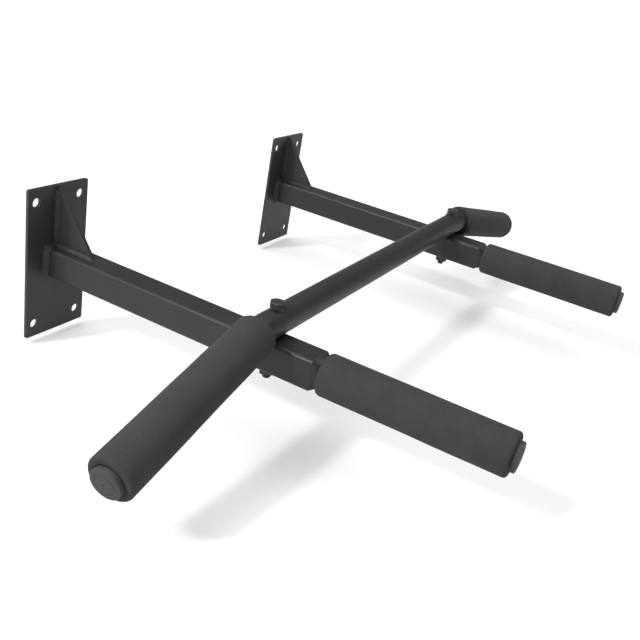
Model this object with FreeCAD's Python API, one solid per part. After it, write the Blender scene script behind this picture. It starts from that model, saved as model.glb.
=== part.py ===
"""Wall-mounted pull up bar: two welded brackets, a bolted crossbar, foam grips and end caps.

Millimetres. The origin is on the wall plane, midway between the brackets, at the height of the arms'
centre line. +X runs along the wall, -Y points away from the wall and +Z is up. A person who faces the
wall has the left bracket at -X.
"""
import FreeCAD, Part
import math
import os

from FreeCAD import Vector

# Wall plates
PLATE_WIDTH = 98.0
PLATE_HEIGHT = 200.0
PLATE_THICKNESS = 4.0
PLATE_CORNER_RADIUS = 2.5
WALL_HOLE_DIAMETER = 12.0
WALL_HOLE_SPACING_X = 72.0
WALL_HOLE_SPACING_Z = 164.0

# Arms: square tubes that stand straight out from the plates
ARM_SPACING = 550.0
ARM_SIDE = 38.0
ARM_WALL = 1.8
ARM_CORNER_RADIUS = 4.0
ARM_END = 397.0
ARM_WELD_LEG = 5.0

# Gussets: upright triangular plates on top of the arms
GUSSET_THICKNESS = 5.0
GUSSET_FOOT = 60.0
GUSSET_TOP_GAP = 4.0
GUSSET_TIP = 3.0
GUSSET_WELD_LEG = 3.5

# Round tube, used for the crossbar and for the handles in front of the arms
TUBE_DIAMETER = 34.0
TUBE_WALL = 2.0
HANDLE_TUBE_INSERT = 38.0
COLLAR_LENGTH = 9.0
COLLAR_MOUTH_DIAMETER = 36.0

# Crossbar: straight between the arms, bent down and slightly forward outside them
CROSSBAR_OUT = 334.0
BEND_BEYOND_ARM = 28.0
BEND_ANGLE = 12.8
BEND_BELOW_HORIZONTAL = 73.5
BEND_RADIUS = 80.0

# Foam grips
FOAM_DIAMETER = 50.0
FOAM_END_RADIUS = 4.0
HANDLE_FOAM_START = 406.0
HANDLE_FOAM_LENGTH = 220.0
BAR_FOAM_START = 9.0
BAR_FOAM_LENGTH = 245.0

# End caps: plastic plugs with a slightly domed head as wide as the tube
CAP_HEAD_DIAMETER = 34.0
CAP_HEAD_HEIGHT = 6.5
CAP_EDGE_RADIUS = 1.2
CAP_CROWN = 0.8
CAP_STEM_LENGTH = 20.0
CAP_STEM_WALL = 2.5
CAP_STEM_CLEARANCE = 0.4
CAP_RIB_COUNT = 3
CAP_RIB_HEIGHT = 0.3
CAP_RIB_WIDTH = 1.6

# M10 bolts, one down through the crossbar and each arm
BOLT_DIAMETER = 10.0
BOLT_HOLE_DIAMETER = 10.6
BOLT_LENGTH = 90.0
BOLT_TIP_CHAMFER = 1.2
HEX_ACROSS_FLATS = 17.0
HEX_CHAMFER_ANGLE = 30.0
BOLT_HEAD_HEIGHT = 6.4
NUT_HEIGHT = 8.0
WASHER_DIAMETER = 21.0
WASHER_THICKNESS = 2.0
SADDLE_DIAMETER = 15.0
SADDLE_CROWN_THICKNESS = 2.5

X_AXIS = Vector(1, 0, 0)
Y_AXIS = Vector(0, 1, 0)
Z_AXIS = Vector(0, 0, 1)
OUTWARD = Vector(0, -1, 0)

ARM_HALF = ARM_SIDE / 2
TUBE_RADIUS = TUBE_DIAMETER / 2
TUBE_BORE_RADIUS = TUBE_RADIUS - TUBE_WALL
HANDLE_FOAM_END = HANDLE_FOAM_START + HANDLE_FOAM_LENGTH
BAR_FOAM_END = BAR_FOAM_START + BAR_FOAM_LENGTH
CROSSBAR_HEIGHT = ARM_HALF + TUBE_RADIUS
BEND_X = ARM_SPACING / 2 + BEND_BEYOND_ARM
CROSSBAR_CENTRE = Vector(0, -CROSSBAR_OUT, CROSSBAR_HEIGHT)
SADDLE_TOP = CROSSBAR_HEIGHT + TUBE_RADIUS + SADDLE_CROWN_THICKNESS
NUT_TOP = -ARM_HALF - WASHER_THICKNESS

SIDES = {"left": -1, "right": 1}


def write(name, *solids):
    """Saves one node. Several solids stay separate inside it."""
    shape = solids[0] if len(solids) == 1 else Part.makeCompound(list(solids))
    shape.exportStep(os.path.join("parts", name + ".step"))


def turned(outline):
    """Solid of revolution about Z from a closed outline of (radius, height) points and arcs.

    A point is (radius, height). An arc is (middle point, end point) and starts where the outline is.
    """
    edges = []
    start = Vector(outline[0][0], 0, outline[0][1])
    here = start
    for step in list(outline[1:]) + [outline[0]]:
        if isinstance(step[0], tuple):
            middle = Vector(step[0][0], 0, step[0][1])
            end = Vector(step[1][0], 0, step[1][1])
            edges.append(Part.Arc(here, middle, end).toShape())
        else:
            end = Vector(step[0], 0, step[1])
            if end.distanceToPoint(here) > 1e-6:
                edges.append(Part.LineSegment(here, end).toShape())
        here = end
    face = Part.Face(Part.Wire(edges))
    return face.revolve(Vector(0, 0, 0), Z_AXIS, 360)


def quarter(centre, radius, from_angle, to_angle):
    """A fillet for turned(): its middle and end points, about a centre, with angles in degrees."""
    middle = math.radians((from_angle + to_angle) / 2)
    end = math.radians(to_angle)
    return (
        (centre[0] + radius * math.cos(middle), centre[1] + radius * math.sin(middle)),
        (centre[0] + radius * math.cos(end), centre[1] + radius * math.sin(end)),
    )


def placed(shape, position, direction):
    """A copy of a shape made along +Z, moved to a position and turned to point along a direction."""
    copy = shape.copy()
    copy.Placement = FreeCAD.Placement(position, FreeCAD.Rotation(Z_AXIS, direction))
    return copy


def rounded_square(side, corner_radius, distance_out):
    """Closed wire of a square with round corners, centred on the arm axis, at a distance from the wall."""
    flat = side / 2 - corner_radius
    edge = side / 2
    reach = flat + corner_radius * math.sqrt(0.5)
    edges = []
    for turn in range(4):
        spin = FreeCAD.Rotation(Y_AXIS, 90 * turn)
        points = [(edge, -flat), (edge, flat), (reach, reach), (flat, edge)]
        low, high, corner, last = [
            spin.multVec(Vector(x, 0, z)) + OUTWARD * distance_out for x, z in points
        ]
        edges.append(Part.LineSegment(low, high).toShape())
        edges.append(Part.Arc(high, corner, last).toShape())
    return Part.Wire(Part.sortEdges(edges)[0])


def circle_of_square_kind(diameter, side, corner_radius, distance_out):
    """Closed wire of a circle, cut into eight arcs that pair with the sides of rounded_square()."""
    flat_share = math.atan2(side / 2 - corner_radius, side / 2)
    radius = diameter / 2
    edges = []
    for turn in range(4):
        spin = FreeCAD.Rotation(Y_AXIS, 90 * turn)
        angles = [-flat_share, 0, flat_share, math.pi / 4, math.pi / 2 - flat_share]
        marks = [
            spin.multVec(Vector(radius * math.cos(a), 0, radius * math.sin(a)))
            + OUTWARD * distance_out
            for a in angles
        ]
        edges.append(Part.Arc(marks[0], marks[1], marks[2]).toShape())
        edges.append(Part.Arc(marks[2], marks[3], marks[4]).toShape())
    return Part.Wire(Part.sortEdges(edges)[0])


def hex_prism(height):
    """Hexagonal prism along +Z from the origin, flats across X."""
    corner_radius = HEX_ACROSS_FLATS / math.sqrt(3)
    corners = []
    for index in range(7):
        angle = math.radians(30 + 60 * index)
        corners.append(Vector(corner_radius * math.cos(angle), corner_radius * math.sin(angle), 0))
    return Part.Face(Part.makePolygon(corners)).extrude(Z_AXIS * height)


def chamfered_hex(height, both_ends):
    """Hexagon whose corners are turned off at the top, and at the bottom too where asked."""
    corner_radius = HEX_ACROSS_FLATS / math.sqrt(3) + 0.01
    face_radius = HEX_ACROSS_FLATS / 2 * 0.95
    drop = (corner_radius - face_radius) * math.tan(math.radians(HEX_CHAMFER_ANGLE))
    outline = [(0, 0)]
    if both_ends:
        outline += [(face_radius, 0), (corner_radius, drop)]
    else:
        outline += [(corner_radius, 0)]
    outline += [(corner_radius, height - drop), (face_radius, height), (0, height)]
    return hex_prism(height).common(turned(outline))


def wall_plate(centre_x):
    """Rectangular plate with four wall holes, its back on the wall plane."""
    box = Part.makeBox(
        PLATE_WIDTH,
        PLATE_THICKNESS,
        PLATE_HEIGHT,
        Vector(centre_x - PLATE_WIDTH / 2, -PLATE_THICKNESS, -PLATE_HEIGHT / 2),
    )
    corner_edges = []
    for edge in box.Edges:
        if abs(edge.tangentAt(edge.FirstParameter).y) > 0.99:
            corner_edges.append(edge)
    plate = box.makeFillet(PLATE_CORNER_RADIUS, corner_edges)
    for side_x in (-1, 1):
        for side_z in (-1, 1):
            position = Vector(
                centre_x + side_x * WALL_HOLE_SPACING_X / 2,
                0,
                side_z * WALL_HOLE_SPACING_Z / 2,
            )
            hole = Part.makeCylinder(WALL_HOLE_DIAMETER / 2, PLATE_THICKNESS, position, OUTWARD)
            plate = plate.cut(hole)
    return plate


def bolt_hole(centre_x):
    """Upright cylinder that clears the bolt, through crossbar and arm."""
    bottom = Vector(centre_x, -CROSSBAR_OUT, -ARM_SIDE)
    return Part.makeCylinder(BOLT_HOLE_DIAMETER / 2, 4 * ARM_SIDE, bottom, Z_AXIS)


def arm_tube(centre_x):
    """Square tube from the plate's front face, with the bolt hole through its top and bottom."""
    length = ARM_END - PLATE_THICKNESS
    outer = Part.Face(rounded_square(ARM_SIDE, ARM_CORNER_RADIUS, PLATE_THICKNESS))
    inner = Part.Face(
        rounded_square(ARM_SIDE - 2 * ARM_WALL, ARM_CORNER_RADIUS - ARM_WALL, PLATE_THICKNESS)
    )
    tube = outer.extrude(OUTWARD * length).cut(inner.extrude(OUTWARD * length))
    tube.translate(X_AXIS * centre_x)
    return tube.cut(bolt_hole(centre_x))


def arm_weld(centre_x):
    """Fillet weld round the arm's root, on the plate's front face, stopped at the gusset."""
    wide = ARM_SIDE + 2 * ARM_WELD_LEG
    root = rounded_square(wide, ARM_CORNER_RADIUS + ARM_WELD_LEG, PLATE_THICKNESS)
    toe = rounded_square(ARM_SIDE + 0.4, ARM_CORNER_RADIUS + 0.2, PLATE_THICKNESS + ARM_WELD_LEG)
    bead = Part.makeLoft([root, toe], True, True)
    core = Part.Face(rounded_square(ARM_SIDE, ARM_CORNER_RADIUS, 0)).extrude(OUTWARD * ARM_SIDE)
    bead = bead.cut(core)
    bead.translate(X_AXIS * centre_x)
    gusset_zone = Part.makeBox(
        GUSSET_THICKNESS + 2 * GUSSET_WELD_LEG,
        2 * ARM_WELD_LEG,
        2 * ARM_WELD_LEG,
        Vector(
            centre_x - GUSSET_THICKNESS / 2 - GUSSET_WELD_LEG,
            -PLATE_THICKNESS - 2 * ARM_WELD_LEG,
            ARM_HALF,
        ),
    )
    return bead.cut(gusset_zone)


def gusset(centre_x):
    """Upright triangle with a short flat tip at its top and at its foot."""
    top = PLATE_HEIGHT / 2 - GUSSET_TOP_GAP
    foot = PLATE_THICKNESS + GUSSET_FOOT
    outline = [
        (PLATE_THICKNESS, ARM_HALF),
        (foot, ARM_HALF),
        (foot, ARM_HALF + GUSSET_TIP),
        (PLATE_THICKNESS + GUSSET_TIP, top),
        (PLATE_THICKNESS, top),
    ]
    corners = [Vector(centre_x - GUSSET_THICKNESS / 2, -out, z) for out, z in outline + outline[:1]]
    return Part.Face(Part.makePolygon(corners)).extrude(X_AXIS * GUSSET_THICKNESS)


def gusset_welds(centre_x):
    """Four fillet welds: along the plate and along the arm, on both faces of the gusset."""
    leg = GUSSET_WELD_LEG
    top = PLATE_HEIGHT / 2 - GUSSET_TOP_GAP
    beads = []
    for side in (-1, 1):
        face_x = centre_x + side * GUSSET_THICKNESS / 2
        upright = [
            Vector(face_x, -PLATE_THICKNESS, ARM_HALF),
            Vector(face_x + side * leg, -PLATE_THICKNESS, ARM_HALF),
            Vector(face_x, -PLATE_THICKNESS - leg, ARM_HALF),
        ]
        height = top - ARM_HALF - leg
        beads.append(Part.Face(Part.makePolygon(upright + upright[:1])).extrude(Z_AXIS * height))
        lying = [
            Vector(face_x, -PLATE_THICKNESS - ARM_WELD_LEG, ARM_HALF),
            Vector(face_x + side * leg, -PLATE_THICKNESS - ARM_WELD_LEG, ARM_HALF),
            Vector(face_x, -PLATE_THICKNESS - ARM_WELD_LEG, ARM_HALF + leg),
        ]
        length = GUSSET_FOOT - ARM_WELD_LEG
        beads.append(Part.Face(Part.makePolygon(lying + lying[:1])).extrude(OUTWARD * length))
    return beads


def arm_collar(centre_x):
    """Tapered collar from the square arm to the round handle tube, which passes through it."""
    back = rounded_square(ARM_SIDE, ARM_CORNER_RADIUS, ARM_END)
    front = circle_of_square_kind(
        COLLAR_MOUTH_DIAMETER, ARM_SIDE, ARM_CORNER_RADIUS, ARM_END + COLLAR_LENGTH
    )
    taper = Part.makeLoft([back, front], True, False)
    start = OUTWARD * (ARM_END - 1)
    collar = taper.cut(Part.makeCylinder(TUBE_RADIUS, COLLAR_LENGTH + 2, start, OUTWARD))
    collar.translate(X_AXIS * centre_x)
    return collar


def handle_tube(centre_x):
    """Round tube from inside the arm to the end of the handle foam."""
    start = ARM_END - HANDLE_TUBE_INSERT
    length = HANDLE_FOAM_END - start
    base = Vector(centre_x, -start, 0)
    outer = Part.makeCylinder(TUBE_RADIUS, length, base, OUTWARD)
    return outer.cut(Part.makeCylinder(TUBE_BORE_RADIUS, length, base, OUTWARD))


def foam_sleeve(length):
    """Foam tube along +Z with rounded outer ends."""
    outer = FOAM_DIAMETER / 2
    curve = FOAM_END_RADIUS
    inset = outer - curve
    return turned(
        [
            (TUBE_RADIUS, 0),
            (inset, 0),
            quarter((inset, curve), curve, -90, 0),
            (outer, length - curve),
            quarter((inset, length - curve), curve, 0, 90),
            (TUBE_RADIUS, length),
        ]
    )


def end_cap():
    """Plug along +Z: hollow ribbed stem below the origin, round-edged slightly crowned head above it."""
    head = CAP_HEAD_DIAMETER / 2
    stem = TUBE_BORE_RADIUS - CAP_STEM_CLEARANCE
    hollow = stem - CAP_STEM_WALL
    edge_height = CAP_HEAD_HEIGHT - CAP_CROWN - CAP_EDGE_RADIUS
    shoulder = head - CAP_EDGE_RADIUS
    crown_radius = (shoulder**2 + CAP_CROWN**2) / (2 * CAP_CROWN)
    half_way_drop = crown_radius - math.sqrt(crown_radius**2 - (shoulder / 2) ** 2)
    cap = turned(
        [
            (0, 0),
            (hollow, 0),
            (hollow, -CAP_STEM_LENGTH),
            (stem, -CAP_STEM_LENGTH),
            (stem, 0),
            (head, 0),
            (head, edge_height),
            quarter((shoulder, edge_height), CAP_EDGE_RADIUS, 0, 90),
            ((shoulder / 2, CAP_HEAD_HEIGHT - half_way_drop), (0, CAP_HEAD_HEIGHT)),
        ]
    )
    pitch = CAP_STEM_LENGTH / (CAP_RIB_COUNT + 1)
    for index in range(CAP_RIB_COUNT):
        base = Z_AXIS * (-pitch * (index + 1) - CAP_RIB_WIDTH / 2)
        rib = Part.makeCylinder(stem + CAP_RIB_HEIGHT, CAP_RIB_WIDTH, base, Z_AXIS)
        cap = cap.fuse(rib.cut(Part.makeCylinder(stem - 0.5, CAP_RIB_WIDTH, base, Z_AXIS)))
    return cap.removeSplitter()


def bar_end_direction(side):
    """Unit vector along the crossbar's bent end, pointing outwards."""
    bend = math.radians(BEND_ANGLE)
    below = math.radians(BEND_BELOW_HORIZONTAL)
    return Vector(
        side * math.cos(bend),
        -math.sin(bend) * math.cos(below),
        -math.sin(bend) * math.sin(below),
    )


def bar_point(side, beyond_bend):
    """Point on the crossbar's bent end, measured from where its two straight lines meet."""
    corner = CROSSBAR_CENTRE + X_AXIS * (side * BEND_X)
    return corner + bar_end_direction(side) * beyond_bend


def crossbar_path():
    """Centre line of the crossbar from left end to right end: straight, arc, straight, arc, straight."""
    half_turn = math.radians(BEND_ANGLE / 2)
    tangent = BEND_RADIUS * math.tan(half_turn)
    edges = []
    here = bar_point(-1, BAR_FOAM_END)
    for side in (-1, 1):
        corner = bar_point(side, 0)
        inner = corner - X_AXIS * (side * tangent)
        outer = bar_point(side, tangent)
        arc_start, arc_end = (outer, inner) if side < 0 else (inner, outer)
        to_centre = ((inner + outer) * 0.5 - corner).normalize()
        middle = corner + to_centre * (BEND_RADIUS / math.cos(half_turn) - BEND_RADIUS)
        edges.append(Part.LineSegment(here, arc_start).toShape())
        edges.append(Part.Arc(arc_start, middle, arc_end).toShape())
        here = arc_end
    edges.append(Part.LineSegment(here, bar_point(1, BAR_FOAM_END)).toShape())
    return Part.Wire(edges)


def swept(radius):
    """Round bar of a radius along the crossbar's path."""
    start = bar_point(-1, BAR_FOAM_END)
    section = Part.Wire([Part.makeCircle(radius, start, bar_end_direction(-1))])
    return crossbar_path().makePipeShell([section], True, False)


def crossbar_tube():
    """Bent round tube with an upright bolt hole over each arm."""
    tube = swept(TUBE_RADIUS).cut(swept(TUBE_BORE_RADIUS))
    for side in SIDES.values():
        tube = tube.cut(bolt_hole(side * ARM_SPACING / 2))
    return tube


def hex_bolt():
    """Bolt along +Z: shank below the origin with a chamfered tip, head above it."""
    radius = BOLT_DIAMETER / 2
    shank = turned(
        [
            (0, 0),
            (radius, 0),
            (radius, -BOLT_LENGTH + BOLT_TIP_CHAMFER),
            (radius - BOLT_TIP_CHAMFER, -BOLT_LENGTH),
            (0, -BOLT_LENGTH),
        ]
    )
    return chamfered_hex(BOLT_HEAD_HEIGHT, False).fuse(shank).removeSplitter()


def hex_nut():
    """Nut along +Z from the origin, bored to the bolt."""
    bore = Part.makeCylinder(BOLT_DIAMETER / 2, NUT_HEIGHT)
    return chamfered_hex(NUT_HEIGHT, True).cut(bore)


def flat_washer():
    """Plain washer along +Z from the origin."""
    disc = Part.makeCylinder(WASHER_DIAMETER / 2, WASHER_THICKNESS)
    return disc.cut(Part.makeCylinder(BOLT_HOLE_DIAMETER / 2, WASHER_THICKNESS))


def saddle_washer(centre_x):
    """Washer with a flat top for the bolt head and a hollow underside that fits the crossbar."""
    radius = SADDLE_DIAMETER / 2
    side_drop = TUBE_RADIUS - math.sqrt(TUBE_RADIUS**2 - radius**2)
    height = SADDLE_CROWN_THICKNESS + side_drop
    base = Vector(centre_x, -CROSSBAR_OUT, SADDLE_TOP - height)
    disc = Part.makeCylinder(radius, height, base, Z_AXIS)
    bar_start = CROSSBAR_CENTRE + X_AXIS * (centre_x - SADDLE_DIAMETER)
    bar = Part.makeCylinder(TUBE_RADIUS, 2 * SADDLE_DIAMETER, bar_start, X_AXIS)
    return disc.cut(bar).cut(bolt_hole(centre_x))


def write_bracket(side_name, side):
    """One bracket: plate, arm, gusset, welds and the handle in front of the arm."""
    centre_x = side * ARM_SPACING / 2
    write(side_name + "_wall_plate", wall_plate(centre_x))
    write(side_name + "_arm_tube", arm_tube(centre_x))
    write(side_name + "_arm_weld", arm_weld(centre_x))
    write(side_name + "_gusset", gusset(centre_x))
    write(side_name + "_gusset_welds", *gusset_welds(centre_x))
    write(side_name + "_arm_collar", arm_collar(centre_x))
    write(side_name + "_handle_tube", handle_tube(centre_x))
    foam_base = Vector(centre_x, -HANDLE_FOAM_START, 0)
    write(side_name + "_handle_grip", placed(foam_sleeve(HANDLE_FOAM_LENGTH), foam_base, OUTWARD))
    cap_base = Vector(centre_x, -HANDLE_FOAM_END, 0)
    write(side_name + "_handle_cap", placed(end_cap(), cap_base, OUTWARD))


def write_bar_end(side_name, side):
    """Foam grip and end cap on one bent end of the crossbar."""
    direction = bar_end_direction(side)
    foam = placed(foam_sleeve(BAR_FOAM_LENGTH), bar_point(side, BAR_FOAM_START), direction)
    write(side_name + "_bar_grip", foam)
    write(side_name + "_bar_cap", placed(end_cap(), bar_point(side, BAR_FOAM_END), direction))


def write_fasteners():
    """Bolts, washers and nuts, each kind as one node with a solid per arm."""
    bolts = []
    saddles = []
    washers = []
    nuts = []
    for side in SIDES.values():
        centre_x = side * ARM_SPACING / 2
        bolts.append(placed(hex_bolt(), Vector(centre_x, -CROSSBAR_OUT, SADDLE_TOP), Z_AXIS))
        saddles.append(saddle_washer(centre_x))
        washers.append(placed(flat_washer(), Vector(centre_x, -CROSSBAR_OUT, NUT_TOP), Z_AXIS))
        nut_base = Vector(centre_x, -CROSSBAR_OUT, NUT_TOP - NUT_HEIGHT)
        nuts.append(placed(hex_nut(), nut_base, Z_AXIS))
    write("crossbar_bolts", *bolts)
    write("saddle_washers", *saddles)
    write("flat_washers", *washers)
    write("crossbar_nuts", *nuts)


os.makedirs("parts", exist_ok=True)
for side_name, side in SIDES.items():
    write_bracket(side_name, side)
    write_bar_end(side_name, side)
write("crossbar_tube", crossbar_tube())
write_fasteners()
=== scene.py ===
"""Looks for the pull up bar: powder-coated steel, rippled welds, threaded bolts, foam grips and plastic caps.

Metres, in the CAD frame: origin on the wall plane between the brackets, -Y away from the wall, +Z up.
"""

import math

import bmesh
import bpy
import numpy as np
from mathutils import Matrix, Vector, noise


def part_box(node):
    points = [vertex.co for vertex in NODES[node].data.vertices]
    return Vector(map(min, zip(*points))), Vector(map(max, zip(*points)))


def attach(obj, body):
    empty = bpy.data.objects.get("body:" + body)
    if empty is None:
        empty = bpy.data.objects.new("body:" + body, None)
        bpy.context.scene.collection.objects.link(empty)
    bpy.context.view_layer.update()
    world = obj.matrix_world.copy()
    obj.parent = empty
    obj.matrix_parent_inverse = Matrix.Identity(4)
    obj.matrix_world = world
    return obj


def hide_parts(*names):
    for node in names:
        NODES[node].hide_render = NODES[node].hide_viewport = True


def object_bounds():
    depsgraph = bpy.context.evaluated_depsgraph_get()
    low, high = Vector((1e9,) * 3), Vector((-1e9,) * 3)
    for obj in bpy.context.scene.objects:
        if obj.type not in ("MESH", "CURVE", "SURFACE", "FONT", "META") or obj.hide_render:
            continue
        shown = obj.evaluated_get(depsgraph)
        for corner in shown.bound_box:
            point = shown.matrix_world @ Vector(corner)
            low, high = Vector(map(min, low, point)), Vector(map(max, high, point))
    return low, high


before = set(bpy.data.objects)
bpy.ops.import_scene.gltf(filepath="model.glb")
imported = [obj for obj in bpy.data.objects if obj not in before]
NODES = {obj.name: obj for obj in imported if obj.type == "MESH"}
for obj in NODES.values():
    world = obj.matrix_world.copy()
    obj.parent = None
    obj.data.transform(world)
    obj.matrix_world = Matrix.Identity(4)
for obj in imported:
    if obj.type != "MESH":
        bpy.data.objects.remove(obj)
CAD_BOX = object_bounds()
SIDES = ("left", "right")
MM = 0.001
MERGE_DISTANCE = 1e-7

# Camera: where it stands, the point it looks at, its focal length and its roll
CAMERA_AT = Vector((-0.9867, -0.7203, 0.4246))
CAMERA_AIM = Vector((-0.1587, -0.3339, 0.0))
CAMERA_LENS = 45.27
CAMERA_SENSOR = 36.0
CAMERA_ROLL = math.radians(10.76)

# Light: overhead sky, one soft sun from the upper left that throws the shadow to the right, and a
# softbox on the same side, close enough that the left bracket is brighter than the right one
SKY_STRENGTH = 2.6
SKY_STOPS = [(0.115, 0.4), (0.15, 0.09), (0.20, 0.03), (0.65, 0.045), (0.90, 1.0)]
SUN_TRAVEL = Vector((0.695, -0.338, -0.634))
SUN_STRENGTH = 1.6
SUN_SOFTNESS = math.radians(6.0)
SOFTBOX_AT = Vector((-1.11, 0.02, 0.70))
SOFTBOX_AIM = Vector((-0.35, -0.35, 0.0))
SOFTBOX_SIZE = 0.45
SOFTBOX_POWER = 6.5

# Floor
FLOOR_HALF = 15.0
FLOOR_GAP = 8.0 * MM
FLOOR_TONES = (0.655, 0.665)
FLOOR_GLOW = 0.2

# Paints: darker patches, lighter patches, lowest and highest roughness, strength of the orange peel
PLATE_PAINT = ((0.0215, 0.0215, 0.0190), (0.0275, 0.0275, 0.0250), 0.40, 0.50, 0.25)
ARM_PAINT = ((0.0145, 0.0155, 0.0160), (0.0190, 0.0202, 0.0208), 0.38, 0.50, 0.22)
BAR_PAINT = ((0.0145, 0.0155, 0.0160), (0.0190, 0.0202, 0.0208), 0.46, 0.56, 0.22)
WELD_PAINT = ((0.0150, 0.0155, 0.0150), (0.0200, 0.0205, 0.0200), 0.52, 0.66, 0.3)
BOLT_PAINT = ((0.0200, 0.0205, 0.0210), (0.0280, 0.0285, 0.0290), 0.30, 0.42, 0.15)
WORN_COLOUR = (0.060, 0.059, 0.057, 1)
WORN_WIDTH = 1.1 * MM
BEVEL_SAMPLES = 6

# Foam and plastic: darker and lighter patches
FOAM_COLOURS = ((0.0305, 0.0323, 0.0314), (0.0400, 0.0418, 0.0400))
PLASTIC_COLOURS = ((0.036, 0.037, 0.036), (0.047, 0.048, 0.046))

# Foam grips
FOAM_BORE = 17.05 * MM
FOAM_EDGE = 4.0 * MM
FOAM_LIP = 1.0 * MM
FOAM_SEGMENTS = 128
FOAM_RING_STEP = 1.6 * MM
FOAM_BORE_RINGS = 12
FOAM_WAVE = 0.35 * MM
FOAM_WAVE_LENGTH = 55 * MM

# End caps
CAP_SEGMENTS = 96
CAP_HEAD_HEIGHT = 6.5 * MM
CAP_EDGE = 1.2 * MM
CAP_CROWN = 0.8 * MM
CAP_BACK_CHAMFER = 0.4 * MM
CAP_STEM_RADIUS = 14.6 * MM
CAP_STEM_CHAMFER = 0.5 * MM
CAP_HOLLOW_RADIUS = 12.1 * MM
CAP_HOLLOW_CHAMFER = 0.4 * MM
CAP_RIBS = 3
CAP_RIB_HEIGHT = 0.35 * MM
CAP_RIB_TOP = 0.3 * MM
CAP_RIB_FOOT = 0.9 * MM
CAP_GROOVE_SHARE = 0.62
# Ring groove across its width, and the gate mark from its rim to its middle: (distance, depth)
CAP_GROOVE_MM = ((0.9, 0.0), (0.5, 0.05), (0.2, 0.35), (-0.2, 0.35), (-0.5, 0.05), (-0.9, 0.0))
CAP_GATE_MM = ((1.9, 0.0), (1.6, 0.12), (1.3, 0.4), (0.7, 0.42), (0.0, 0.42))
CAP_CREASE_DEGREES = 40

# Weld beads
ARM_CORNER = 4.0 * MM
CORNER_STEPS = 10
TOE_STEPS = 8
WELD_LEG = 5.0 * MM
GUSSET_WELD_LEG = 3.5 * MM
TOE_WELD_SHARE = 0.72
WELD_HOLLOW = 0.06
WELD_SWELL = 0.06
WELD_ROOT_DEPTH = 0.3 * MM
WELD_CREASE_DEGREES = 60
BEAD_STEP = 0.5 * MM
BEAD_ACROSS = 12
RIPPLE_PITCH = 2.6 * MM
RIPPLE_DEPTH = 0.2 * MM
RIPPLE_LAG = 0.45
GUSSET_WELD_LIFT = 0.5 * MM
GUSSET_WELD_STOP = 3.0 * MM
GUSSET_WELD_GAP = 1.0 * MM

# Bolts
BOLT_SEGMENTS = 72
BOLT_RADIUS = 5.0 * MM
BOLT_CREASE_DEGREES = 35
SHANK_FILLET = 0.4 * MM
TIP_CHAMFER = 1.4 * MM
THREAD_PITCH = 1.5 * MM
THREAD_DEPTH = 0.85 * MM
THREAD_LENGTH = 26.0 * MM
THREAD_RINGS = 10
THREAD_RUN_OUT = 2 * THREAD_PITCH
THREAD_ROOT = 1.15
THREAD_FLANK = 1.3
HEAD_FLAT = 17.0 * MM / 2
HEAD_CORNER = 17.0 * MM / math.sqrt(3)
HEAD_HEIGHT = 6.4 * MM


def mesh_object(name, vertices, faces, smooth=True):
    """A new mesh object in the row frame."""
    mesh = bpy.data.meshes.new(name)
    mesh.from_pydata([tuple(v) for v in vertices], [], faces)
    mesh.validate()
    mesh.update()
    for polygon in mesh.polygons:
        polygon.use_smooth = smooth
    made = bpy.data.objects.new(name, mesh)
    bpy.context.scene.collection.objects.link(made)
    return made


def grid_faces(rows, columns, closed_rows, closed_columns):
    """Quads that join a grid of rows by columns of vertices, row after row."""
    faces = []
    for row in range(rows if closed_rows else rows - 1):
        for column in range(columns if closed_columns else columns - 1):
            right = (column + 1) % columns
            up = (row + 1) % rows
            faces.append(
                (
                    row * columns + column,
                    row * columns + right,
                    up * columns + right,
                    up * columns + column,
                )
            )
    return faces


def clean_mesh(made, merge):
    """Points every face outwards, after merging the points that lie together if merge is set."""
    mesh = bmesh.new()
    mesh.from_mesh(made.data)
    if merge:
        bmesh.ops.remove_doubles(mesh, verts=mesh.verts, dist=MERGE_DISTANCE)
    bmesh.ops.recalc_face_normals(mesh, faces=mesh.faces)
    mesh.to_mesh(made.data)
    mesh.free()


def shade_by_angle(made, degrees):
    """Smooth shading, with edges sharper than an angle left crisp."""
    bpy.context.view_layer.objects.active = made
    made.select_set(True)
    bpy.ops.object.shade_smooth_by_angle(angle=math.radians(degrees))
    made.select_set(False)


def node_points(node):
    """Vertices of a CAD node in the row frame, as an array."""
    return np.array([NODES[node].matrix_world @ v.co for v in NODES[node].data.vertices])


def long_direction(node):
    """Unit vector along a long straight node, pointing away from the middle of the object."""
    points = node_points(node)
    spread = points - points.mean(axis=0)
    direction = np.linalg.svd(spread, full_matrices=False)[2][0]
    away = points.mean(axis=0) if abs(direction[0]) > 0.5 else np.array([0.0, -1.0, 0.0])
    return Vector(direction if direction @ away > 0 else -direction)


def span(node, direction):
    """(start, end, radius) of a round node along a direction: its end centres and outer radius."""
    points = node_points(node)
    along_axis = np.array(direction)
    centre = (points.max(axis=0) + points.min(axis=0)) / 2
    along = (points - centre) @ along_axis
    first = points[along < along.min() + 1e-5].mean(axis=0)
    across = (points - first) - np.outer((points - first) @ along_axis, along_axis)
    radius = float(np.linalg.norm(across, axis=1).max())
    return Vector(first), Vector(first + along_axis * (along.max() - along.min())), radius


def to_frame(start, direction):
    """Matrix that takes a shape made along +Z from the origin to a start point and a direction."""
    return Matrix.Translation(start) @ direction.to_track_quat("Z", "Y").to_matrix().to_4x4()


def around(index, segments):
    """Angle of one of the points of a ring."""
    return 2 * math.pi * index / segments


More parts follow.
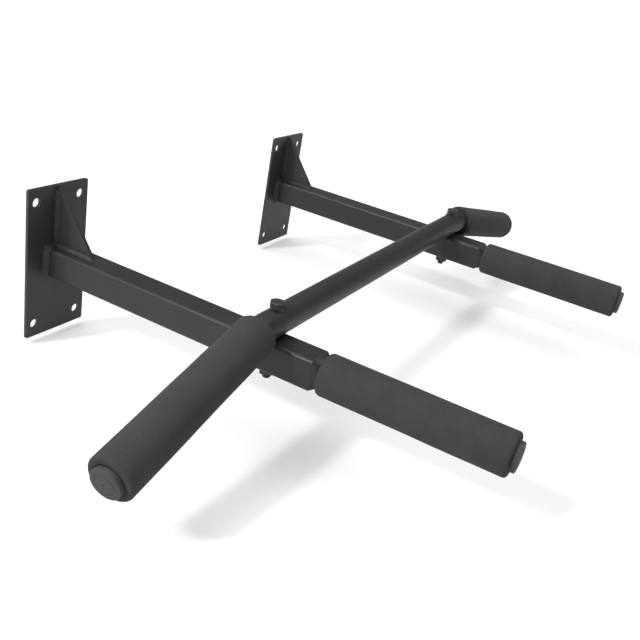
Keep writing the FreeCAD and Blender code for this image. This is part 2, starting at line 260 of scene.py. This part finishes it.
def turned_object(name, outline, segments, place, bend=None):
    """Ring-shaped or capped solid of revolution from a closed outline of (radius, height) points.

    bend(radius, angle, height) may return a changed radius.
    """
    vertices = []
    for radius, height in outline:
        for index in range(segments):
            angle = around(index, segments)
            reach = bend(radius, angle, height) if bend else radius
            vertices.append(
                place @ Vector((reach * math.cos(angle), reach * math.sin(angle), height))
            )
    is_ring = outline[0][0] > 0 and outline[-1][0] > 0
    made = mesh_object(name, vertices, grid_faces(len(outline), segments, is_ring, True))
    clean_mesh(made, merge=not is_ring)
    return made


def arc(centre, radius, from_angle, to_angle, steps):
    """Points of a fillet, angles in degrees."""
    points = []
    for index in range(steps + 1):
        angle = math.radians(from_angle + (to_angle - from_angle) * index / steps)
        points.append((centre[0] + radius * math.cos(angle), centre[1] + radius * math.sin(angle)))
    return points


# ---------------------------------------------------------------- materials


def new_material(name):
    """Empty node material: (material, tree, shader)."""
    material = bpy.data.materials.new(name)
    material.use_nodes = True
    tree = material.node_tree
    return material, tree, tree.nodes["Principled BSDF"]


def add(tree, kind, **values):
    """A node with its properties and input values set."""
    made = tree.nodes.new(kind)
    for key, value in values.items():
        if key in made.inputs:
            made.inputs[key].default_value = value
        else:
            setattr(made, key, value)
    return made


def set_inputs(shader, **values):
    """Sets shader inputs; an underscore in a name stands for a space."""
    for key, value in values.items():
        shader.inputs[key.replace("_", " ")].default_value = value


def object_noise(tree, per_metre, detail, roughness):
    """Noise in the object's own coordinates."""
    place = add(tree, "ShaderNodeTexCoord")
    made = add(tree, "ShaderNodeTexNoise", Scale=per_metre, Detail=detail, Roughness=roughness)
    tree.links.new(place.outputs["Object"], made.inputs["Vector"])
    return made.outputs["Fac"]


def ramp(tree, source, stops):
    """Colour ramp from (position, grey or colour) stops."""
    made = add(tree, "ShaderNodeValToRGB")
    elements = made.color_ramp.elements
    while len(elements) < len(stops):
        elements.new(0.5)
    for element, (position, colour) in zip(elements, stops):
        element.position = position
        tone = colour if isinstance(colour, tuple) else (colour, colour, colour)
        element.color = (*tone, 1.0)
    tree.links.new(source, made.inputs["Fac"])
    return made.outputs["Color"]


def soft_edges(tree, radius):
    """Normal that rounds sharp edges over a radius in metres."""
    made = add(tree, "ShaderNodeBevel", samples=BEVEL_SAMPLES, Radius=radius)
    return made.outputs["Normal"]


def bump(tree, shader, layers, edge_radius):
    """Chains bump nodes on softened edges: (height output, strength, distance in metres)."""
    last = soft_edges(tree, edge_radius)
    for height, strength, distance in layers:
        made = add(tree, "ShaderNodeBump", Strength=strength, Distance=distance)
        tree.links.new(height, made.inputs["Height"])
        tree.links.new(last, made.inputs["Normal"])
        last = made.outputs["Normal"]
    tree.links.new(last, shader.inputs["Normal"])


def worn_edges(tree, radius):
    """Mask that is 1 on sharp edges, broken up by noise."""
    geometry = add(tree, "ShaderNodeNewGeometry")
    dot = add(tree, "ShaderNodeVectorMath", operation="DOT_PRODUCT")
    tree.links.new(soft_edges(tree, radius), dot.inputs[0])
    tree.links.new(geometry.outputs["Normal"], dot.inputs[1])
    edge = ramp(tree, dot.outputs["Value"], [(0.86, 1.0), (0.985, 0.0)])
    chips = object_noise(tree, per_metre=260, detail=4, roughness=0.6)
    breaks = ramp(tree, chips, [(0.45, 0.0), (0.6, 1.0)])
    mask = add(tree, "ShaderNodeMath", operation="MULTIPLY")
    tree.links.new(edge, mask.inputs[0])
    tree.links.new(breaks, mask.inputs[1])
    return mask.outputs["Value"]


def powder_coat(name, dark, light, rough_low, rough_high, peel):
    """Black satin powder coat: orange peel, fine grit, faint tone change and paler worn edges."""
    material, tree, shader = new_material(name)
    patches = object_noise(tree, per_metre=9, detail=5, roughness=0.6)
    smudges = object_noise(tree, per_metre=28, detail=6, roughness=0.65)
    orange_peel = object_noise(tree, per_metre=420, detail=3, roughness=0.5)
    grit = object_noise(tree, per_metre=2600, detail=2, roughness=0.5)
    worn = add(tree, "ShaderNodeMix", data_type="RGBA")
    worn.inputs["B"].default_value = WORN_COLOUR
    tree.links.new(ramp(tree, patches, [(0.32, dark), (0.68, light)]), worn.inputs["A"])
    tree.links.new(worn_edges(tree, WORN_WIDTH), worn.inputs["Factor"])
    tree.links.new(worn.outputs["Result"], shader.inputs["Base Color"])
    rough = ramp(tree, smudges, [(0.3, rough_low), (0.75, rough_high)])
    tree.links.new(rough, shader.inputs["Roughness"])
    layers = [(orange_peel, peel, 0.10 * MM), (grit, peel, 0.02 * MM)]
    bump(tree, shader, layers, edge_radius=0.4 * MM)
    set_inputs(shader, Specular_IOR_Level=0.3)
    return material


def foam(name):
    """Matt closed-cell foam: fine pores with painted shade in their middles, soft mottling and a faint dusty
    sheen.
    """
    material, tree, shader = new_material(name)
    mottle = object_noise(tree, per_metre=22, detail=6, roughness=0.62)
    grain = object_noise(tree, per_metre=1500, detail=4, roughness=0.7)
    place = add(tree, "ShaderNodeTexCoord")
    pores = add(tree, "ShaderNodeTexVoronoi", Scale=950.0, Randomness=1.0)
    tree.links.new(place.outputs["Object"], pores.inputs["Vector"])
    pit = ramp(tree, pores.outputs["Distance"], [(0.08, 0.0), (0.42, 1.0)])
    dark, light = FOAM_COLOURS
    # Painted shade: the colour is up to 30% darker in the middle of each pore, where the bump dips
    shade = add(tree, "ShaderNodeMix", data_type="RGBA", blend_type="MULTIPLY")
    shade.inputs["Factor"].default_value = 0.3
    tree.links.new(ramp(tree, mottle, [(0.34, dark), (0.68, light)]), shade.inputs["A"])
    tree.links.new(pit, shade.inputs["B"])
    tree.links.new(shade.outputs["Result"], shader.inputs["Base Color"])
    tree.links.new(ramp(tree, mottle, [(0.3, 0.86), (0.7, 0.98)]), shader.inputs["Roughness"])
    layers = [(pit, 0.3, 0.2 * MM), (grain, 0.3, 0.1 * MM)]
    bump(tree, shader, layers, edge_radius=0.6 * MM)
    set_inputs(shader, Sheen_Weight=0.02, Sheen_Roughness=0.6, Specular_IOR_Level=0.12)
    return material


def moulded_plastic(name):
    """Matt dark grey plastic with a fine moulded grain and softened edges."""
    material, tree, shader = new_material(name)
    patches = object_noise(tree, per_metre=60, detail=5, roughness=0.6)
    grain = object_noise(tree, per_metre=1900, detail=3, roughness=0.6)
    dark, light = PLASTIC_COLOURS
    tree.links.new(ramp(tree, patches, [(0.3, dark), (0.75, light)]), shader.inputs["Base Color"])
    tree.links.new(ramp(tree, patches, [(0.3, 0.60), (0.7, 0.74)]), shader.inputs["Roughness"])
    bump(tree, shader, [(grain, 0.3, 0.06 * MM)], edge_radius=0.5 * MM)
    set_inputs(shader, Specular_IOR_Level=0.2)
    return material


def studio_floor(name):
    """Plain pale matt floor that glows a little."""
    material, tree, shader = new_material(name)
    patches = object_noise(tree, per_metre=1.5, detail=2, roughness=0.5)
    dark, light = FLOOR_TONES
    tree.links.new(ramp(tree, patches, [(0.3, dark), (0.7, light)]), shader.inputs["Base Color"])
    set_inputs(
        shader,
        Roughness=0.95,
        Emission_Color=(1, 1, 1, 1),
        Emission_Strength=FLOOR_GLOW,
        Specular_IOR_Level=0.1,
    )
    return material


# ---------------------------------------------------------------- pieces


def dress(piece, material, slot, *nodes):
    """Gives a new piece its material and body and hides the CAD nodes that it stands for; slot is not used.
    """
    piece.data.materials.clear()
    piece.data.materials.append(material)
    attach(piece, "root")
    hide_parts(*nodes)


def paint_node(name, material):
    """Puts a material on a CAD node that keeps its shape."""
    for slot in NODES[name].material_slots:
        slot.link = "OBJECT"
        slot.material = material


def foam_grip(node, name, material, seed):
    """Foam sleeve with rounded ends, a gentle unevenness and a soft lip round its bore."""
    start, end, radius = span(node, long_direction(node))
    length = (end - start).length
    inset = radius - FOAM_EDGE
    straight = length - 2 * FOAM_EDGE
    lip = FOAM_BORE + FOAM_LIP
    steps = round(straight / FOAM_RING_STEP)
    outline = [(FOAM_BORE, FOAM_LIP)]
    outline += arc((lip, FOAM_LIP), FOAM_LIP, 180, 270, 4)[1:]
    outline += arc((inset, FOAM_EDGE), FOAM_EDGE, -90, 0, 12)[1:]
    for index in range(1, steps):
        outline.append((radius, FOAM_EDGE + straight * index / steps))
    outline += arc((inset, length - FOAM_EDGE), FOAM_EDGE, 0, 90, 12)
    outline += arc((lip, length - FOAM_LIP), FOAM_LIP, 90, 180, 4)[1:]
    for index in range(1, FOAM_BORE_RINGS):
        down = (length - 2 * FOAM_LIP) * index / FOAM_BORE_RINGS
        outline.append((FOAM_BORE, length - FOAM_LIP - down))
    shift = Vector((seed * 3.7, seed * 1.9, seed * 5.3))

    def uneven(reach, angle, height):
        share = (reach - FOAM_BORE) / (radius - FOAM_BORE)
        place = Vector((math.cos(angle), math.sin(angle), height / FOAM_WAVE_LENGTH))
        wave = noise.noise(place * 0.8 + shift) + 0.4 * noise.noise(place * 2.1 + shift)
        return reach + share * FOAM_WAVE * (wave - 0.35)

    place = to_frame(start, (end - start).normalized())
    piece = turned_object(name, outline, FOAM_SEGMENTS, place, uneven)
    dress(piece, material, "grip_foam", node)


def cap_stem(length):
    """Outline of the hollow ribbed stem, from the bottom of its hollow to the back of the head."""
    stem = CAP_STEM_RADIUS
    hollow = CAP_HOLLOW_RADIUS
    outline = [(0.0, 0.0), (hollow, 0.0), (hollow, -length + CAP_HOLLOW_CHAMFER)]
    outline += [(hollow + CAP_HOLLOW_CHAMFER, -length), (stem - CAP_STEM_CHAMFER, -length)]
    outline += [(stem, -length + CAP_STEM_CHAMFER)]
    for rib in range(CAP_RIBS, 0, -1):
        middle = -length * rib / (CAP_RIBS + 1)
        crest = stem + CAP_RIB_HEIGHT
        outline += [(stem, middle - CAP_RIB_FOOT), (crest, middle - CAP_RIB_TOP)]
        outline += [(crest, middle + CAP_RIB_TOP), (stem, middle + CAP_RIB_FOOT)]
    return outline + [(stem, 0.0)]


def cap_face(radius):
    """Outline of the head's crowned face, with a ring groove and a gate mark in its middle."""
    shoulder = radius - CAP_EDGE
    dome = (shoulder**2 + CAP_CROWN**2) / (2 * CAP_CROWN)
    groove = radius * CAP_GROOVE_SHARE
    cuts = [(groove + offset * MM, depth * MM) for offset, depth in CAP_GROOVE_MM]
    cuts += [(groove * 0.7, 0.0), (groove * 0.45, 0.0)]
    cuts += [(reach * MM, depth * MM) for reach, depth in CAP_GATE_MM]
    outline = []
    for reach, depth in cuts:
        drop = dome - math.sqrt(dome**2 - reach**2)
        outline.append((reach, CAP_HEAD_HEIGHT - drop - depth))
    return outline


def end_cap(node, grip, name, material):
    """Plug for a tube's end: crowned head with a moulded ring, and a ribbed hollow stem behind it."""
    start, end, radius = span(node, long_direction(grip))
    stem_length = (end - start).length - CAP_HEAD_HEIGHT
    outline = cap_stem(stem_length)
    outline += [(radius - CAP_BACK_CHAMFER, 0.0), (radius, CAP_BACK_CHAMFER)]
    edge_height = CAP_HEAD_HEIGHT - CAP_CROWN - CAP_EDGE
    outline += arc((radius - CAP_EDGE, edge_height), CAP_EDGE, 0, 84, 8)
    outline += cap_face(radius)
    direction = (end - start).normalized()
    piece = turned_object(name, outline, CAP_SEGMENTS, to_frame(start + direction * stem_length, direction))
    shade_by_angle(piece, CAP_CREASE_DEGREES)
    dress(piece, material, "cap_plastic", node)


def bead(name, path, leg, closed=False, rounded_end=False):
    """Rippled fillet weld. path gives (corner point, direction up one wall, direction up the other).

    Directions shorter than 1 make the bead smaller there. rounded_end runs an open bead out at its
    far end.
    """
    corners = [point[0] for point in path]
    distances = [0.0]
    for before, after in zip(corners, corners[1:]):
        distances.append(distances[-1] + (after - before).length)
    total = distances[-1] + ((corners[0] - corners[-1]).length if closed else 0.0)
    pitch = total / round(total / RIPPLE_PITCH)
    vertices = []
    for (corner, one, other), travelled in zip(path, distances):
        to_end = min(1.0, (total - travelled) / leg) if rounded_end else 1.0
        fade = 0.1 + 0.9 * math.sqrt(1 - (1 - to_end) ** 2)
        swell = 1 + WELD_SWELL * noise.noise(corner * 90)
        for step in range(BEAD_ACROSS + 1):
            angle = math.pi / 2 * step / BEAD_ACROSS
            hump = math.sin(2 * angle)
            lag = RIPPLE_LAG * math.sin(math.pi * step / BEAD_ACROSS)
            ripple = math.sin(2 * math.pi * (travelled / pitch - lag))
            flat_face = 1 / (math.cos(angle) + math.sin(angle))
            face = flat_face * (1 - WELD_HOLLOW * hump)
            reach = (leg * face * swell + RIPPLE_DEPTH * ripple * hump) * fade
            vertices.append(
                corner + one * (reach * math.cos(angle)) + other * (reach * math.sin(angle))
            )
        vertices.append(corner - (one + other) * WELD_ROOT_DEPTH * fade)
    rows = len(path)
    columns = BEAD_ACROSS + 2
    faces = grid_faces(rows, columns, closed, True)
    if not closed:
        faces.append(tuple(range(columns)))
        faces.append(tuple((rows - 1) * columns + column for column in range(columns)))
    made = mesh_object(name, vertices, faces)
    clean_mesh(made, merge=False)
    shade_by_angle(made, WELD_CREASE_DEGREES)
    return made


def arm_weld(side, material):
    """Bead all round the arm's root, on the plate."""
    low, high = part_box(side + "_arm_tube")
    plate_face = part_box(side + "_wall_plate")[0].y
    centre = Vector(((low.x + high.x) / 2, plate_face, (low.z + high.z) / 2))
    half = (high.x - low.x) / 2
    flat = half - ARM_CORNER
    outward = Vector((0, -1, 0))
    count = round(2 * flat / BEAD_STEP)
    path = []
    for turn in range(4):
        spin = Matrix.Rotation(-math.pi / 2 * turn, 3, "Y")
        for index in range(count):
            point = Vector((half, 0, -flat + 2 * flat * index / count))
            path.append((centre + spin @ point, spin @ Vector((1, 0, 0)), outward))
        for index in range(CORNER_STEPS):
            angle = math.pi / 2 * index / CORNER_STEPS
            out = Vector((math.cos(angle), 0, math.sin(angle)))
            point = Vector((flat, 0, flat)) + out * ARM_CORNER
            path.append((centre + spin @ point, spin @ out, outward))
    piece = bead(side + "_arm_weld_bead", path, WELD_LEG, closed=True)
    dress(piece, material, "weld_powder_coat", side + "_arm_weld")


def foot_path(low, high):
    """Path along one face of the gusset's foot, round its toe and back along the other face.

    The bead is smaller at the toe.
    """
    up = Vector((0, 0, 1))
    back = high.y - GUSSET_WELD_GAP
    middle = (low.x + high.x) / 2
    half = []
    count = round((back - low.y) / BEAD_STEP)
    for index in range(count + 1):
        beyond_toe = (back - low.y) * (1 - index / count)
        growth = (1 - TOE_WELD_SHARE) * beyond_toe / (2 * GUSSET_WELD_LEG)
        size = min(1.0, TOE_WELD_SHARE + growth)
        corner = Vector((low.x, low.y + beyond_toe, low.z))
        half.append((corner, Vector((-size, 0, 0)), up * size))
    for index in range(1, TOE_STEPS + 1):
        angle = math.pi / 2 * index / TOE_STEPS
        out = Vector((-math.cos(angle), -math.sin(angle), 0))
        half.append((low.copy(), out * TOE_WELD_SHARE, up * TOE_WELD_SHARE))
    count = round((middle - low.x) / BEAD_STEP)
    for index in range(1, count + 1):
        corner = Vector((low.x + (middle - low.x) * index / count, low.y, low.z))
        half.append((corner, Vector((0, -TOE_WELD_SHARE, 0)), up * TOE_WELD_SHARE))
    other_half = []
    for corner, out, rise in reversed(half[:-1]):
        mirrored = Vector((2 * middle - corner.x, corner.y, corner.z))
        other_half.append((mirrored, Vector((-out.x, out.y, 0)), rise))
    return half + other_half


def gusset_welds(side, material):
    """Beads on both faces of the gusset, up the plate and all round its foot on the arm."""
    low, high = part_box(side + "_gusset")
    bottom = low.z + GUSSET_WELD_LIFT
    top = high.z - GUSSET_WELD_STOP
    count = round((top - bottom) / BEAD_STEP)
    pieces = [bead(side + "_gusset_weld_foot", foot_path(low, high), GUSSET_WELD_LEG)]
    for label, face_x, out in (("a", low.x, -1), ("b", high.x, 1)):
        path = []
        for index in range(count + 1):
            point = Vector((face_x, high.y, bottom + (top - bottom) * index / count))
            path.append((point, Vector((out, 0, 0)), Vector((0, -1, 0))))
        name = f"{side}_gusset_weld_upright_{label}"
        pieces.append(bead(name, path, GUSSET_WELD_LEG, rounded_end=True))
    for piece in pieces:
        dress(piece, material, "weld_powder_coat", side + "_gusset_welds")


def head_rings():
    """Rings of the bolt's hexagon head and the fillet under it, as lists of (radius, angle, height)."""
    limits = (
        (0.0, HEAD_HEIGHT),
        (HEAD_FLAT * 0.5, HEAD_HEIGHT),
        (HEAD_FLAT * 0.93, HEAD_HEIGHT),
        (HEAD_FLAT * 0.97, HEAD_HEIGHT - 0.15 * MM),
        (HEAD_CORNER * 0.96, HEAD_HEIGHT - 0.75 * MM),
        (HEAD_CORNER, HEAD_HEIGHT - 1.25 * MM),
        (HEAD_CORNER, 0.6 * MM),
        (HEAD_CORNER * 0.985, 0.25 * MM),
        (HEAD_FLAT * 0.97, 0.2 * MM),
        (HEAD_FLAT * 0.96, 0.0),
        (BOLT_RADIUS + SHANK_FILLET, 0.0),
        (BOLT_RADIUS, -SHANK_FILLET),
    )
    rings = []
    for limit, height in limits:
        ring = []
        for index in range(BOLT_SEGMENTS):
            angle = around(index, BOLT_SEGMENTS)
            from_flat = (angle + math.pi / 6) % (math.pi / 3) - math.pi / 6
            ring.append((min(HEAD_FLAT / math.cos(from_flat), limit), angle, height))
        rings.append(ring)
    return rings


def flat_ring(radius, height):
    """Plain round ring of the bolt."""
    return [(radius, around(index, BOLT_SEGMENTS), height) for index in range(BOLT_SEGMENTS)]


def thread_rings(top):
    """Rings of a right-hand thread from a height down to the chamfered tip."""
    ring_step = THREAD_PITCH / THREAD_RINGS
    count = round(THREAD_LENGTH / ring_step)
    rings = []
    for row in range(1, count + 1):
        height = top - ring_step * row
        fade = min(1.0, row * ring_step / THREAD_RUN_OUT)
        to_tip = (count - row) * ring_step
        limit = BOLT_RADIUS - max(0.0, TIP_CHAMFER - to_tip)
        ring = []
        for index in range(BOLT_SEGMENTS):
            phase = (height / THREAD_PITCH - index / BOLT_SEGMENTS) % 1.0
            groove = min(1.0, max(0.0, THREAD_ROOT - abs(2 * phase - 1) * THREAD_FLANK))
            radius = min(BOLT_RADIUS - THREAD_DEPTH * groove * fade, limit)
            ring.append((radius, around(index, BOLT_SEGMENTS), height))
        rings.append(ring)
    return rings


def bolt(name, base, tip, material):
    """Hex bolt with a chamfered head on a base point, a plain shank and a thread down to its tip."""
    length = base.z - tip
    thread_top = -(length - THREAD_LENGTH)
    rings = head_rings()
    rings.append(flat_ring(BOLT_RADIUS, thread_top))
    rings += thread_rings(thread_top)
    rings.append(flat_ring(0.0, -length))
    vertices = []
    for ring in rings:
        for radius, angle, height in ring:
            vertices.append(
                base + Vector((radius * math.cos(angle), radius * math.sin(angle), height))
            )
    piece = mesh_object(name, vertices, grid_faces(len(rings), BOLT_SEGMENTS, False, True))
    clean_mesh(piece, merge=True)
    shade_by_angle(piece, BOLT_CREASE_DEGREES)
    dress(piece, material, "fastener_steel", "crossbar_bolts")


def bolts(material):
    """One bolt down through the crossbar and each arm."""
    low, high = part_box("crossbar_bolts")
    arm_low, arm_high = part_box("right_arm_tube")
    half_spacing = arm_low.x + (arm_high.x - arm_low.x) / 2
    for side, centre_x in zip(SIDES, (-half_spacing, half_spacing)):
        base = Vector((centre_x, (low.y + high.y) / 2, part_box("saddle_washers")[1].z))
        bolt(side + "_bolt", base, low.z, material)


# ---------------------------------------------------------------- stage


def place_object(name, data, position=None):
    """A new camera or light object in the scene."""
    made = bpy.data.objects.new(name, data)
    bpy.context.scene.collection.objects.link(made)
    if position is not None:
        made.location = position
    return made


def turn_towards(made, direction, roll=0.0):
    """Turns a camera or light so that it looks along a direction."""
    turn = direction.to_track_quat("-Z", "Y").to_matrix() @ Matrix.Rotation(roll, 3, "Z")
    made.rotation_euler = turn.to_euler()


def make_camera():
    """Camera at the photograph's angle."""
    data = bpy.data.cameras.new("camera")
    data.lens = CAMERA_LENS
    data.sensor_width = CAMERA_SENSOR
    data.clip_start = 0.01
    data.clip_end = 100.0
    camera = place_object("camera", data, CAMERA_AT)
    turn_towards(camera, CAMERA_AIM - CAMERA_AT, CAMERA_ROLL)
    bpy.context.scene.camera = camera


def make_sun():
    """Soft sun that throws the shadow."""
    data = bpy.data.lights.new("sun", "SUN")
    data.energy = SUN_STRENGTH
    data.angle = SUN_SOFTNESS
    turn_towards(place_object("sun", data), SUN_TRAVEL)


def make_softbox():
    """Round softbox beside the left bracket."""
    data = bpy.data.lights.new("softbox", "AREA")
    data.shape = "DISK"
    data.size = SOFTBOX_SIZE
    data.energy = SOFTBOX_POWER
    turn_towards(place_object("softbox", data, SOFTBOX_AT), SOFTBOX_AIM - SOFTBOX_AT)


def make_world():
    """White below and round the horizon, dim higher up, with a wide soft light straight overhead."""
    world = bpy.data.worlds.new("studio")
    world.use_nodes = True
    bpy.context.scene.world = world
    tree = world.node_tree
    place = add(tree, "ShaderNodeTexCoord")
    parts = add(tree, "ShaderNodeSeparateXYZ")
    tree.links.new(place.outputs["Generated"], parts.inputs["Vector"])
    background = tree.nodes["Background"]
    tree.links.new(ramp(tree, parts.outputs["Z"], SKY_STOPS), background.inputs["Color"])
    background.inputs["Strength"].default_value = SKY_STRENGTH


def make_floor():
    """Wide square floor just below the object."""
    height = CAD_BOX[0].z - FLOOR_GAP
    signs = ((-1, -1), (1, -1), (1, 1), (-1, 1))
    corners = [Vector((x * FLOOR_HALF, y * FLOOR_HALF, height)) for x, y in signs]
    floor = mesh_object("floor", corners, [(0, 1, 2, 3)], smooth=False)
    floor.data.materials.append(studio_floor("floor_paint"))


def build():
    """Paints the kept CAD nodes and makes every new piece."""
    plate_paint = powder_coat("plate_paint", *PLATE_PAINT)
    arm_paint = powder_coat("arm_paint", *ARM_PAINT)
    bar_paint = powder_coat("bar_paint", *BAR_PAINT)
    weld_paint = powder_coat("weld_paint", *WELD_PAINT)
    bolt_paint = powder_coat("bolt_paint", *BOLT_PAINT)
    foam_skin = foam("foam_skin")
    plastic = moulded_plastic("cap_grain")
    for seed, side in enumerate(SIDES, start=1):
        paint_node(side + "_wall_plate", plate_paint)
        paint_node(side + "_gusset", plate_paint)
        paint_node(side + "_arm_tube", arm_paint)
        paint_node(side + "_arm_collar", arm_paint)
        paint_node(side + "_handle_tube", bar_paint)
        arm_weld(side, weld_paint)
        gusset_welds(side, weld_paint)
        foam_grip(side + "_handle_grip", side + "_handle_foam", foam_skin, seed)
        foam_grip(side + "_bar_grip", side + "_bar_foam", foam_skin, seed + len(SIDES))
        end_cap(side + "_handle_cap", side + "_handle_grip", side + "_handle_plug", plastic)
        end_cap(side + "_bar_cap", side + "_bar_grip", side + "_bar_plug", plastic)
    paint_node("crossbar_tube", bar_paint)
    for name in ("saddle_washers", "flat_washers", "crossbar_nuts"):
        paint_node(name, bolt_paint)
    bolts(bolt_paint)


bpy.context.scene.view_settings.view_transform = "Standard"
make_camera()
make_world()
make_floor()
make_sun()
make_softbox()
build()
